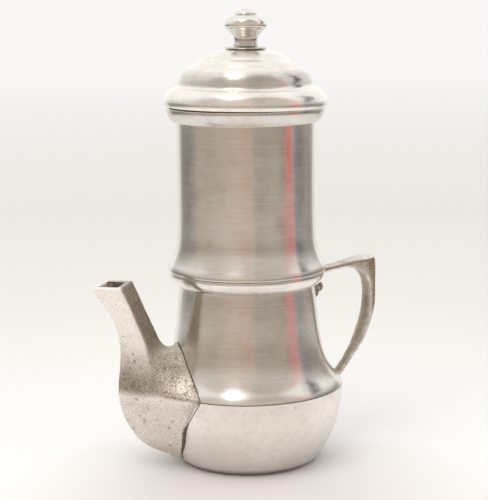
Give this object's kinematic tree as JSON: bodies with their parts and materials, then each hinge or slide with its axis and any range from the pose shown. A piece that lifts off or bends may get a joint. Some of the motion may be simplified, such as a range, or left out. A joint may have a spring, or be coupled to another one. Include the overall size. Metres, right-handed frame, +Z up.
{
  "type": "drip coffee pot",
  "caption": "Two-tier aluminium drip coffee pot: spouted serving pot with strap handle, lift-off filter chamber with loose water spreader, and domed lid with a turned knob.",
  "frame": {"origin": "centre of the serving pot's flat base, on the resting plane", "axes": "+Z up along the turned axis, -X towards the spout, +X towards the handle"},
  "size_m": [0.1797, 0.1146, 0.271],
  "materials": {
    "bowl": "satin drawn aluminium",
    "shoulder": "polished spun aluminium",
    "collar": "polished spun aluminium",
    "spout": "rough sand-cast aluminium, pitted",
    "handle": "rough sand-cast aluminium, worn bright on its edges",
    "lug": "rough cast aluminium",
    "rivet": "dull aluminium",
    "chamber": "polished spun aluminium, fine scratches",
    "rim": "polished spun aluminium",
    "spigot": "satin aluminium",
    "plate": "satin aluminium, perforated",
    "retainer": "satin aluminium",
    "spreader": "satin aluminium, perforated",
    "stem": "satin aluminium",
    "spreader_knob": "turned aluminium",
    "lid": "bright spun aluminium",
    "skirt": "satin aluminium",
    "washer": "polished aluminium",
    "knob": "polished turned aluminium",
    "cap": "polished turned aluminium",
    "screw": "dull aluminium",
    "lock": "dull aluminium"
  },
  "bodies": {
    "serving_pot": {"lower_bowl": "bowl", "pot_shoulder": "shoulder", "collar_ring": "collar", "spout_casting": "spout", "handle_casting": "handle", "handle_lug": "lug", "lug_rivet": "rivet"},
    "filter_chamber": {"chamber_shell": "chamber", "chamber_rim": "rim", "chamber_spigot": "spigot", "filter_plate": "plate", "filter_retainer": "retainer"},
    "water_spreader": {"spreader_plate": "spreader", "spreader_stem": "stem", "spreader_knob": "spreader_knob"},
    "lid": {"lid_shell": "lid", "lid_skirt": "skirt", "knob_washer": "washer", "knob_body": "knob", "knob_cap": "cap", "knob_screw": "screw", "lock_washer": "lock"}
  },
  "joints": [
    {"name": "chamber_lift", "type": "slide", "parent": "serving_pot", "child": "filter_chamber", "axis": [0, 0, 1], "range_m": [0, 0.08]},
    {"name": "lid_lift", "type": "slide", "parent": "filter_chamber", "child": "lid", "axis": [0, 0, 1], "range_m": [0, 0.06]},
    {"name": "spreader_lift", "type": "slide", "parent": "filter_chamber", "child": "water_spreader", "axis": [0, 0, 1], "range_m": [0, 0.06]}
  ]
}
